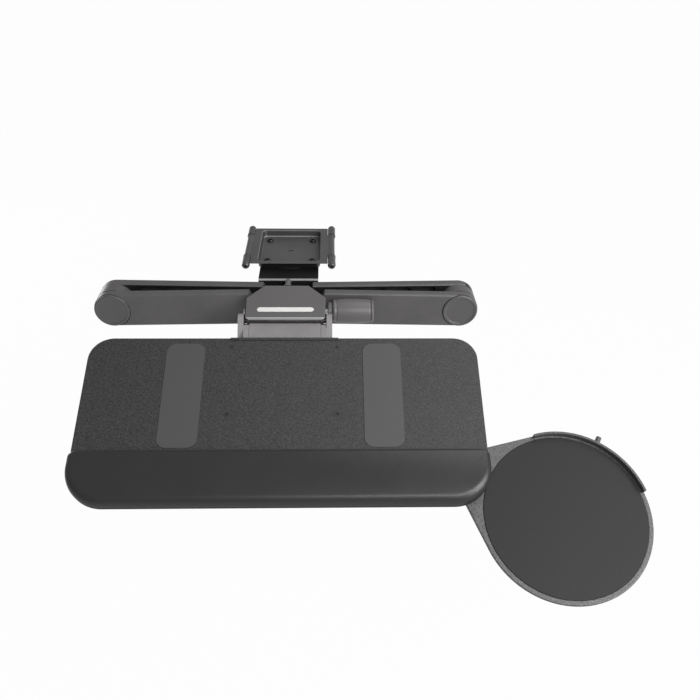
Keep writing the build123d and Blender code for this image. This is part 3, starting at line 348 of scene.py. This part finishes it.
def bracket_bend_highlight(finish):
    """1 along the outside of the arm bracket's front bend, where a highlight is painted.

    It is nearness to the front times nearness to the top times the glint, which climbs from a share in
    the middle to 1 at the ends, where brighter glints are painted."""
    middle_share = 0.5
    low, high = box("rear_bracket")
    front = (low[1] + 0.0016, low[1] + 0.0030)
    top = (high[2] - 0.0030, high[2] - 0.0016)
    ends = (0.044, 0.047)
    x, y, z = finish.axes()
    glint = abs(x).over(*ends) * (1.0 - middle_share) + middle_share
    return (1.0 - y.over(*front)) * z.over(*top) * glint


def pan_highlights(finish):
    """Painted highlight on the pressed rim round the carriage's pan, plus a stronger painted highlight
    along the foot of its rear wall.

    Each is a band of heights times its strength; the second is also times nearness to the rear."""
    rim_highlight, foot_highlight = 0.14, 0.3
    rim_start, rim_stop = (-0.0014, -0.0011), (-0.0003, -0.0001)
    foot_start, foot_stop = (-0.0107, -0.0104), (-0.0094, -0.0088)
    rear_wall = (0.045, 0.048)
    x, y, z = finish.axes()
    rim = band(z, rim_start, rim_stop) * rim_highlight
    foot = band(z, foot_start, foot_stop) * y.over(*rear_wall) * foot_highlight
    return rim + foot


def under_pan_shade(finish):
    """Painted shade: 1 outside the pan and under its floor, where no light reaches, and half on its inner
    walls.

    The walls lean inwards, so a place's reach is its distance out plus its depth times the lean's
    tangent."""
    lean = math.radians(12)
    narrower = 0.006  # the pan reaches this much less to the sides than to the front
    wall, wall_share = (0.0558, 0.0562), 0.5
    wall_start, wall_stop = (-0.0092, -0.0086), (-0.0016, -0.0014)
    plate_underside, pan_underside = (-0.0024, -0.0020), (-0.0120, -0.0114)
    x, y, z = finish.axes()
    reach = abs(y).larger(abs(x) + narrower) - z * math.tan(lean)
    outside = reach.over(*wall)
    walls = band(z, wall_start, wall_stop) * (1.0 - outside)
    beside = (1.0 - z.over(*plate_underside)) * outside + walls * wall_share
    return beside.larger(1.0 - z.over(*pan_underside))


def hinge_shade(finish, radius=0.0081):
    """1 round the hinge rod between the ears: painted shade that makes the cover's barrel black.

    The squared distance from the hinge line is compared with the squared radius."""
    half, soft, rim = 0.0592, 0.0001, 0.0002
    x, y, z = finish.axes()
    reach = (y - float(HINGE[1])) ** 2 + (z - float(HINGE[2])) ** 2
    inside = 1.0 - abs(x).over(half - soft, half + soft)
    return inside * (1.0 - reach.over((radius - rim) ** 2, (radius + rim) ** 2))


def arm_root_shade(finish):
    """1 where the tray's arms end round the hinge rod: a wider painted hinge shade."""
    return hinge_shade(finish, 0.0104)


def hood_lip_highlight(finish):
    """1 on the hood's turned-down front edge, where a highlight is painted: within its sheet of the
    hood's front.
    """
    sheet = (0.0012, 0.0018)
    low, high = box("hood")
    x, y, z = finish.axes()
    return 1.0 - y.over(low[1] + sheet[0], low[1] + sheet[1])


# Masks given as inner paint shade; masks given as edge paint highlights.
FINISHES = {
    "carriage": powder_coat("carriage dark coat", 0.058, 0.38, inner=under_pan_shade, edge=pan_highlights),
    "bracket_black": powder_coat("black bracket coat", 0.006, 0.5, edge=bracket_bend_highlight, gloss=0.25),
    "pivot_plate": plated_steel("pivot plate zinc", 0.5),
    "head_black": powder_coat("black head coat", 0.012, 0.5),
    "link": powder_coat("link warm grey coat", 0.073),
    "rear_link": powder_coat("rear link warm grey coat", 0.073, inner=rear_link_gap_shade),
    "drum": satin_plastic("drum warm grey", 0.073, 0.42),
    "cap": satin_plastic("cap warm grey", 0.069, 0.36),
    "hood": satin_plastic("hood warm grey", 0.088, 0.42, edge=hood_lip_highlight, shade=0.30),
    "white": satin_plastic("white bar", 0.63, tint=(1.0, 0.99, 0.97)),
    "knob": satin_plastic("knob grey", 0.092, 0.44),
    "bracket": powder_coat("tray bracket light coat", 0.185, inner=arm_root_shade),
    "cover": powder_coat("cover light coat", 0.18, inner=hinge_shade),
    "board": speckled("board dark texture", 0.028, contrast=0.42, scale=440.0, roughness=0.58,
                      depth=0.0002, fleck=0.3, gloss=0.45),
    "grip": speckled("grip pad rubber", 0.053, contrast=0.05, scale=1400.0, roughness=0.62),
    "palm": soft_skin("palm rest skin", 0.022, 0.35, gloss=0.36),
    "mouse": speckled("mouse platform texture", 0.075, contrast=0.5, scale=620.0, roughness=0.5,
                      depth=0.00015, fleck=0.25),
    "fence": speckled("mouse fence texture", 0.058, contrast=0.5, scale=620.0, depth=0.00015, fleck=0.25),
    "mouse_pad": speckled("mouse pad surface", 0.019, contrast=0.05, scale=2200.0, roughness=0.6,
                          depth=0.00005, gloss=0.22),
    "steel": plated_steel("zinc plated steel", 0.45),
    "black_steel": plated_steel("blackened steel", 0.06, 0.38),
    "screw": powder_coat("black screw coat", 0.02, 0.5),
    "spring": plated_steel("oiled spring steel", 0.22, 0.4),
    "nylon": satin_plastic("dark bush nylon", 0.045, 0.45),
    "washer": satin_plastic("black washer nylon", 0.008, 0.55),
    "nylon_dark": satin_plastic("dark glide nylon", 0.048, 0.33),
}

# The finish of every CAD node, first those in the middle, then those that come left and right
DRESS = {
    "carriage_plate": "carriage", "glides_left": "nylon_dark", "glides_right": "nylon_dark",
    "swivel_bush": "steel", "swivel_washer_upper": "washer", "swivel_washer_lower": "washer",
    "swivel_retainer": "black_steel", "carriage_bolts": "black_steel", "carriage_nuts": "steel",
    "rear_bracket": "bracket_black", "rear_pivot_plate": "pivot_plate", "rear_pivot_pins": "steel",
    "rear_tie_bolts": "steel", "head_frame": "head_black", "head_rear_plate": "head_black",
    "front_pivot_pins": "steel", "front_tie_bolt": "steel", "hood": "hood", "gauge_bar": "white",
    "hinge_rod": "black_steel", "shaft_bushes": "nylon", "knob_shaft": "steel", "knob_collar": "knob",
    "tilt_knob": "knob", "shaft_clip": "black_steel", "tilt_nut": "steel", "tray_bracket": "bracket",
    "bracket_cover": "cover", "tilt_cam": "black_steel", "tray_board": "board", "tray_screws": "screw",
    "palm_rest": "palm", "grip_pad_left": "grip", "grip_pad_right": "grip", "mouse_mount": "mouse",
    "mouse_base": "mouse", "mouse_pad": "mouse_pad", "mouse_fence": "fence", "mouse_bolt": "steel",
}
for side in ("left", "right"):
    DRESS.update({
        f"rear_link_{side}": "rear_link", f"front_link_{side}": "link", f"rear_bush_{side}": "nylon",
        f"front_bush_{side}": "nylon", f"elbow_bush_{side}": "nylon", f"spring_drum_{side}": "drum",
        f"counter_spring_{side}": "spring", f"elbow_axle_{side}": "steel", f"elbow_nut_{side}": "steel",
        f"elbow_cap_{side}": "cap",
    })


def dress(piece, finish):
    """One finish over a whole piece."""
    slots = piece.data.materials
    if len(slots) == 0:
        slots.append(FINISHES[finish])
    for index in range(len(slots)):
        slots[index] = FINISHES[finish]


for name, piece in nodes.items():
    dress(piece, DRESS[name])


# Grids and profiles

def grid_mesh(name, points):
    """Mesh from an array of points in rows and columns.

    Each face joins a point, the next in its row, which closes round, and the two below them."""
    rows, columns = points.shape[:2]
    i, j = np.meshgrid(np.arange(rows - 1), np.arange(columns), indexing="ij")
    along = (j + 1) % columns
    quads = np.stack([i * columns + j, i * columns + along,
                      (i + 1) * columns + along, (i + 1) * columns + j], -1)
    mesh = bpy.data.meshes.new(name)
    mesh.from_pydata(points.reshape(-1, 3).tolist(), [], quads.reshape(-1, 4).tolist())
    mesh.validate()
    piece = bpy.data.objects.new(name, mesh)
    bpy.context.scene.collection.objects.link(piece)
    return merge(piece)


def merge(piece, distance=0.00002):
    """Weld points that lie closer than the distance, drop flat faces and turn every face outwards."""
    shape = bmesh.new()
    shape.from_mesh(piece.data)
    bmesh.ops.remove_doubles(shape, verts=shape.verts, dist=distance)
    bmesh.ops.dissolve_degenerate(shape, edges=shape.edges, dist=distance / 4)
    bmesh.ops.recalc_face_normals(shape, faces=shape.faces)
    shape.to_mesh(piece.data)
    shape.free()
    piece.data.shade_smooth()
    return piece


def on_tray(u, v, h):
    """Points of the row's frame, in metres, from tray places in millimetres.

    u runs to the right, v down the slope from the board's rear edge, and h up from the board. The
    place is turned by the tilt about the hinge line."""
    y = -(BOARD_REAR + v)
    z = h + BOARD_TOP
    cos, sin = math.cos(TILT), math.sin(TILT)
    return np.stack([u + 0.0 * y, y * cos - z * sin, y * sin + z * cos], -1) / MM + HINGE


def rounded_outline(half_u, v0, v1, rear_corner, front_corner, arc=24, straight=(140, 14)):
    """Closed outline of a rectangle with rounded corners, with its inward normals.

    It runs front right, rear right, rear left, front left: corner arcs joined by straight runs. arc is
    the points in a corner, straight those in a run along the tray and in one down its side."""
    corners = [
        (half_u - front_corner, v1 - front_corner, front_corner, 90, 0),
        (half_u - rear_corner, v0 + rear_corner, rear_corner, 0, -90),
        (-half_u + rear_corner, v0 + rear_corner, rear_corner, -90, -180),
        (-half_u + front_corner, v1 - front_corner, front_corner, 180, 90),
    ]
    places, normals = [], []
    for index, (cu, cv, radius, start, stop) in enumerate(corners):
        angles = np.radians(np.linspace(start, stop, arc))
        out = np.stack([np.cos(angles), np.sin(angles)], -1)
        places.append(np.array([cu, cv]) + radius * out)
        normals.append(-out)
        nu, nv, nr, nstart, _ = corners[(index + 1) % 4]
        nout = np.array([math.cos(math.radians(nstart)), math.sin(math.radians(nstart))])
        first = places[-1][-1]
        last = np.array([nu, nv]) + nr * nout
        share = np.linspace(0, 1, straight[(index + 1) % 2] + 2)[1:-1, None]
        places.append(first + (last - first) * share)
        normals.append(np.repeat(-nout[None], len(share), 0))
    return np.concatenate(places), np.concatenate(normals)


def turned(name, profile, centre, axis, segments=160):
    """Surface of revolution: each (distance along, radius) of the profile goes round the axis.

    The profile and the centre are in millimetres."""
    along, radius = np.array(profile, float).T / MM
    angle = np.linspace(0, 2 * np.pi, segments, endpoint=False)
    ring = np.stack([np.cos(angle), np.sin(angle)], -1)[None] * radius[:, None, None]
    spot = np.zeros((len(along), segments, 3))
    spot[..., axis] = along[:, None]
    others = [index for index in range(3) if index != axis]
    spot[..., others[0]] = ring[..., 0]
    spot[..., others[1]] = ring[..., 1]
    return grid_mesh(name, spot + np.array(centre) / MM)


def arc_points(start, middle, end, count):
    """Points of the quadratic curve that passes through three places, for rounded stretches of a profile.

    Its pull point is twice the middle less the mean of the ends."""
    share = np.linspace(0, 1, count)[:, None]
    start, middle, end = (np.array(place, float) for place in (start, middle, end))
    pull = 2 * middle - (start + end) / 2
    return [tuple(place) for place in
            (1 - share) ** 2 * start + 2 * share * (1 - share) * pull + share ** 2 * end]


# Pieces that take a CAD node's place

def palm_rest():
    """Padded wrist support as rings round its outline, in millimetres.

    The rings start under the pad, go down the skirt inside the board's front edge and round its bead,
    climb the wall, turn over the nose on a quarter of an ellipse, and close over a crown that falls with
    the square of the distance from its middle line and, near the ends, of the distance past their start.
    Each size changes with the way that the outline faces: front, rear and aside are shares of 1."""
    half, rear_edge, front_edge, rear_corner, front_corner = 272.4, 170.5, 243.3, 9.0, 50.0
    clear = 0.12  # between the board and the pad's underside
    crown_height, crown_line, crown_half, crown_fall = 11.9, 205.0, 36.0, 3.4
    end_start, end_length, end_fall = 190.0, 82.0, 0.9
    spine_share, spine_line = 0.86, 207.0  # the line in which the crown and the underside close
    skirt_depth, skirt_least = 10.0, 0.5  # how far it hangs down at the front; its least width
    skirt_from, skirt_ramp = 0.12, 0.3  # the facing at which it starts to hang down; its stretch
    bead_radius = 2.2
    under_rings, under_last = 7, 0.12  # rings on the underside; the last one's share of the way in
    bead_rings, wall_rings, wall_first, nose_rings, crown_rings = 7, 8, 0.15, 17, 16

    place, inward = rounded_outline(half, rear_edge, front_edge, rear_corner, front_corner)
    front = np.clip(-inward[:, 1], 0, 1)
    rear = np.clip(inward[:, 1], 0, 1)
    aside = np.abs(inward[:, 0])

    def facing(base, to_front=0.0, to_rear=0.0, to_side=0.0):
        """A size that changes with the way that the outline faces."""
        return base + to_front * front + to_rear * rear + to_side * aside

    nose_width = facing(4.0, to_front=8.0, to_side=4.0 * (1 - rear))
    wall_top = facing(4.4, to_front=-5.4, to_rear=1.4)
    foot = clear - skirt_depth * np.clip((front - skirt_from) / skirt_ramp, 0, 1)
    skirt_width = np.maximum(facing(3.8, to_front=3.4, to_side=-3.0), skirt_least)
    bead = np.minimum(bead_radius, skirt_width / 2)
    spine = np.stack([place[:, 0] * spine_share, np.full(len(place), spine_line)], -1)
    rings = []

    def crown(spot):
        """Height of the crown over a place."""
        across = np.abs(spot[:, 1] - crown_line) / crown_half
        ends = np.clip((np.abs(spot[:, 0]) - end_start) / end_length, 0, 1)
        return crown_height - crown_fall * across ** 2 - end_fall * ends ** 2

    def ring(spot, height):
        """Next ring, through places at a height each."""
        rings.append(on_tray(spot[:, 0], spot[:, 1], height))

    def inset(depth):
        """The outline's places, each moved inwards by a depth."""
        return place + inward * np.reshape(depth, (-1, 1))

    flat = np.full(len(place), clear)
    under = inset(skirt_width)
    for share in np.linspace(1, under_last, under_rings):
        ring(under + (spine - under) * share, flat)
    for share in (0.0, 0.33, 0.66, 1.0):
        ring(under, flat + (foot - flat) * share)
    for angle in np.radians(np.linspace(0, 90, bead_rings)):
        ring(inset(bead * (1 - np.sin(angle))), foot + bead * (1 - np.cos(angle)))
    for share in np.linspace(wall_first, 1, wall_rings):
        ring(place, foot + bead + (wall_top - foot - bead) * share)
    for angle in np.radians(np.linspace(0, 90, nose_rings))[1:]:
        edge = inset(nose_width * (1 - np.cos(angle)))
        ring(edge, wall_top + (crown(edge) - wall_top) * np.sin(angle))
    for share in np.linspace(0, 1, crown_rings)[1:]:
        spot = edge + (spine - edge) * share
        ring(spot, crown(spot))
    piece = grid_mesh("palm_cushion", np.stack(rings))
    dress(piece, "palm")
    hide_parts("palm_rest")
    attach(piece, "tray")


def tilt_knob():
    """Grip: a softly barrelled sleeve between two fine grooves, and a rounded end bead.

    The profile, in millimetres, starts at the blind end of the bore, halfway along the sleeve. It runs
    out over the inner face, along the sleeve and the bead, and back to the axis over a shallow dish."""
    bore, face, barrel = 4.06, 15.2, 18.15  # radii of the bore, the inner face and the sleeve's middle
    bead_length = 5.0
    low, high = box("tilt_knob", MM)
    start, end = low[0], high[0]
    groove = end - bead_length
    middle = (start + groove) / 2
    profile = [(middle, 0.0), (middle, bore), (start, bore), (start, face)]
    # Rounded shoulder, then the fine groove beside it
    profile += arc_points((start, face), (start + 0.5, 16.2), (start + 1.5, 16.6), 6)[1:]
    profile += [(start + 4.6, 17.0), (start + 4.9, 16.55), (start + 5.5, 16.55), (start + 5.8, 17.1)]
    # Barrelled sleeve, then the groove before the bead
    profile += arc_points((start + 5.8, 17.1), (middle, barrel), (groove - 0.9, 16.9), 40)[1:]
    profile += [(groove - 0.5, 16.5), (groove - 0.35, 15.5), (groove + 0.35, 15.5), (groove + 0.5, 16.2)]
    # Bead, its rounded edge and the end's dish
    profile += arc_points((groove + 0.5, 16.2), (groove + 3.1, 16.3), (end - 0.3, 13.4), 16)[1:]
    profile += arc_points((end - 0.3, 13.4), (end - 0.1, 12.7), (end - 0.7, 12.2), 5)[1:]
    profile += [(end - 1.2, 11.0), (end - 1.3, 0.0)]
    centre = (0.0, (low[1] + high[1]) / 2, (low[2] + high[2]) / 2)
    piece = turned("knob_grip", profile, centre, axis=0)
    dress(piece, "knob")
    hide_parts("tilt_knob")
    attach(piece, "tilt_knob")


def elbow_cap(side):
    """Cap: flat flange in the recess, a rounded proud rim and a shallow dish with a soft central rise.

    The rise of the dish follows a quarter of a sine from its edge to the middle."""
    clear, chamfer = 0.6, 0.5  # beside the recess's wall; at the back edge
    crest, dish_edge = 2.6, 5.4  # in from the rim's outside
    dish_depth, dish_rise, dish_rings = 1.2, 0.55, 16
    node = f"elbow_cap_{side}"
    low, high = box(node, MM)
    back, front = high[1], low[1]
    radius = (high[0] - low[0]) / 2 - clear
    profile = [(back, 0.0), (back, radius - chamfer), (back - chamfer, radius)]
    # Outer and inner flank of the rim
    profile += arc_points((front + 2.4, radius), (front + 0.62, radius - 0.62),
                          (front, radius - crest), 14)
    profile += arc_points((front, radius - crest), (front + 0.55, radius - 4.2),
                          (front + dish_depth, radius - dish_edge), 10)[1:]
    for share in np.linspace(0, 1, dish_rings)[1:]:
        rise = dish_rise * math.sin(math.pi / 2 * share)
        profile.append((front + dish_depth + rise, (radius - dish_edge) * (1 - share)))
    centre = ((low[0] + high[0]) / 2, 0.0, (low[2] + high[2]) / 2)
    piece = turned(f"cap_{side}", profile, centre, axis=1)
    dress(piece, "cap")
    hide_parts(node)
    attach(piece, f"front_{side}")


palm_rest()
tilt_knob()
for side in ("left", "right"):
    elbow_cap(side)


# Studio

def pale_floor():
    """Floor below the object: glow for camera, glossy and transmission rays, paper for the others."""
    drop = 0.20  # the lowered arm and the swung platform stay above it
    reach = 6.0
    paper_tone, paper_roughness, glow_share = 0.30, 0.9, 0.98
    low, high = cad_box
    z = low[2] - drop
    sheet = bpy.data.meshes.new("floor")
    corners = [(-reach, -reach, z), (reach, -reach, z), (reach, reach, z), (-reach, reach, z)]
    sheet.from_pydata(corners, [], [(0, 1, 2, 3)])
    ground = bpy.data.objects.new("floor", sheet)
    bpy.context.scene.collection.objects.link(ground)
    paper = Finish("floor paper")
    paper.set(Base_Color=colour(paper_tone), Roughness=paper_roughness)
    rays = paper.rays("Is Camera Ray", "Is Glossy Ray", "Is Transmission Ray")
    glow = paper.node("ShaderNodeEmission", {}, {"Color": colour(1.0), "Strength": 1.0})
    matt = Wire(paper, paper.shader.outputs[0])
    both = paper.node("ShaderNodeMixShader", {}, {0: rays * glow_share, 1: matt, 2: glow})
    paper.put(both, paper.tree.nodes["Material Output"].inputs["Surface"])
    sheet.materials.append(paper.material)


def sky():
    """White world: its light strength, plus what the camera sees of it beyond that."""
    light, seen = 0.36, 0.98
    world = bpy.data.worlds.new("studio")
    bpy.context.scene.world = world
    world.use_nodes = True
    background = world.node_tree.nodes["Background"]
    shades = Shades(world.node_tree)
    shades.put(colour(1.0), background.inputs["Color"])
    shades.put(shades.rays("Is Camera Ray") * (seen - light) + light, background.inputs["Strength"])


def lamp(name, place, target, width, height, power):
    """Soft lamp of a width and height in metres and a power in watts, turned to its target."""
    data = bpy.data.lights.new(name, "AREA")
    data.shape = "RECTANGLE"
    data.size, data.size_y = width, height
    data.energy = power
    holder = bpy.data.objects.new(name, data)
    aim = (Vector(target) - Vector(place)).to_track_quat("-Z", "Y")
    holder.matrix_world = Matrix.Translation(place) @ aim.to_matrix().to_4x4()
    bpy.context.scene.collection.objects.link(holder)


def photo_camera():
    """Camera at the photograph's place: turned by yaw, pitch below the level and roll, in degrees.

    The focal length is the photograph's, in pixels, over its width, times the sensor's width."""
    place = (0.0642, -1.0706, 0.5280)
    yaw, pitch, roll = (math.radians(angle) for angle in (1.93, 34.51, 1.05))
    focal_pixels, photo_pixels, sensor = 722.2, 700.0, 36.0
    data = bpy.data.cameras.new("photo camera")
    data.sensor_width = sensor
    data.lens = focal_pixels / photo_pixels * sensor
    holder = bpy.data.objects.new("photo camera", data)
    turn = Matrix.Rotation(-yaw, 4, "Z") @ Matrix.Rotation(math.pi / 2 - pitch, 4, "X")
    turn = turn @ Matrix.Rotation(roll, 4, "Z")
    holder.matrix_world = Matrix.Translation(place) @ turn
    bpy.context.scene.collection.objects.link(holder)
    bpy.context.scene.camera = holder


pale_floor()
sky()
# Each lamp's place, target, width, height and power
lamp("key", (1.25, -1.15, 0.60), (0.12, -0.2, -0.1), 0.8, 0.8, 22.0)
lamp("top", (0.75, 0.15, 1.35), (0.10, -0.3, -0.1), 1.0, 1.0, 9.0)
lamp("front", (0.70, -1.55, 1.15), (0.10, -0.3, -0.15), 1.5, 0.45, 18.0)
lamp("back", (-1.35, 0.80, 0.05), (0.0, 0.0, -0.06), 0.6, 0.4, 9.0)
photo_camera()
bpy.context.scene.view_settings.view_transform = "Standard"
